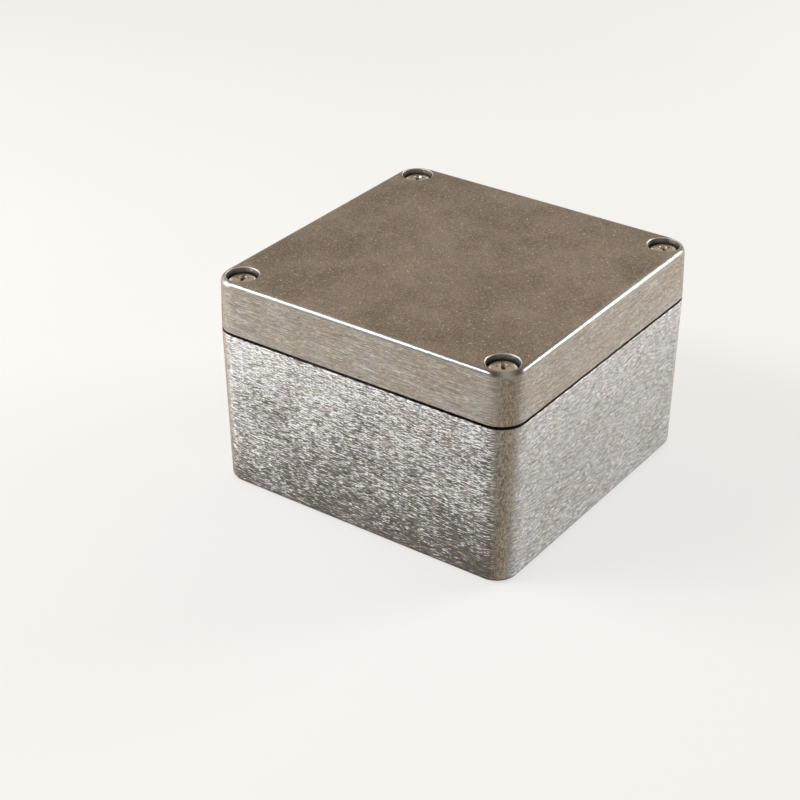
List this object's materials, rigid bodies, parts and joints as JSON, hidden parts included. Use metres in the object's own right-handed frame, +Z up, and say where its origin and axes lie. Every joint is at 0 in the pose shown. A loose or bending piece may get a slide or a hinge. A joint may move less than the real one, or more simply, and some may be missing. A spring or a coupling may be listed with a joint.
{
  "type": "die cast aluminium box",
  "caption": "Nearly square die cast aluminium box with a gasketed lid, captive corner screws, wall screw holes outside the seal and tapped bosses on its floor.",
  "frame": {"origin": "on the surface that the box stands on, under the centre of the box", "axes": "+Z up towards the lid, +X along the 122 mm side, +Y along the 120 mm side, front at -Y"},
  "size_m": [0.122, 0.12, 0.08],
  "materials": {
    "base_casting": "die cast aluminium, tumbled and coarsely linished along its walls, bare",
    "lid_casting": "die cast aluminium, tumbled matt, with a fine grain along its sides, bare",
    "gasket_rubber": "matt moulded silicone rubber, dark grey",
    "screw_steel": "plain stainless steel, satin",
    "ring_plastic": "natural nylon",
    "earth_steel": "bright zinc plated steel"
  },
  "bodies": {
    "base": {"base": "base_casting", "earth_screw": "earth_steel", "earth_washer": "earth_steel"},
    "lid": {"lid": "lid_casting", "gasket": "gasket_rubber"},
    "screw_ring_front_right": {"screw_ring_front_right": "ring_plastic"},
    "lid_screw_front_right": {"lid_screw_front_right": "screw_steel"},
    "screw_ring_front_left": {"screw_ring_front_left": "ring_plastic"},
    "lid_screw_front_left": {"lid_screw_front_left": "screw_steel"},
    "screw_ring_back_left": {"screw_ring_back_left": "ring_plastic"},
    "lid_screw_back_left": {"lid_screw_back_left": "screw_steel"},
    "screw_ring_back_right": {"screw_ring_back_right": "ring_plastic"},
    "lid_screw_back_right": {"lid_screw_back_right": "screw_steel"}
  },
  "joints": [
    {"name": "lid_lift", "type": "slide", "parent": "base", "child": "lid", "axis": [0, 0, 1], "range_m": [0, 0.1]},
    {"name": "screw_rise_front_right", "type": "slide", "parent": "lid", "child": "screw_ring_front_right", "axis": [0, 0, 1], "range_m": [0, 0.01]},
    {"name": "screw_turn_front_right", "type": "hinge", "parent": "screw_ring_front_right", "child": "lid_screw_front_right", "pos_m": [0.0527, -0.0517, 0.0602], "axis": [0, 0, 1], "range_deg": [0, 4500]},
    {"name": "screw_rise_front_left", "type": "slide", "parent": "lid", "child": "screw_ring_front_left", "axis": [0, 0, 1], "range_m": [0, 0.01]},
    {"name": "screw_turn_front_left", "type": "hinge", "parent": "screw_ring_front_left", "child": "lid_screw_front_left", "pos_m": [-0.0527, -0.0517, 0.0602], "axis": [0, 0, 1], "range_deg": [0, 4500]},
    {"name": "screw_rise_back_left", "type": "slide", "parent": "lid", "child": "screw_ring_back_left", "axis": [0, 0, 1], "range_m": [0, 0.01]},
    {"name": "screw_turn_back_left", "type": "hinge", "parent": "screw_ring_back_left", "child": "lid_screw_back_left", "pos_m": [-0.0527, 0.0517, 0.0602], "axis": [0, 0, 1], "range_deg": [0, 4500]},
    {"name": "screw_rise_back_right", "type": "slide", "parent": "lid", "child": "screw_ring_back_right", "axis": [0, 0, 1], "range_m": [0, 0.01]},
    {"name": "screw_turn_back_right", "type": "hinge", "parent": "screw_ring_back_right", "child": "lid_screw_back_right", "pos_m": [0.0527, 0.0517, 0.0602], "axis": [0, 0, 1], "range_deg": [0, 4500]}
  ],
  "couplings": [
    {"joint": "screw_turn_front_right", "follows": "screw_rise_front_right", "rad_per_m": 7854},
    {"joint": "screw_turn_front_left", "follows": "screw_rise_front_left", "rad_per_m": 7854},
    {"joint": "screw_turn_back_left", "follows": "screw_rise_back_left", "rad_per_m": 7854},
    {"joint": "screw_turn_back_right", "follows": "screw_rise_back_right", "rad_per_m": 7854}
  ]
}
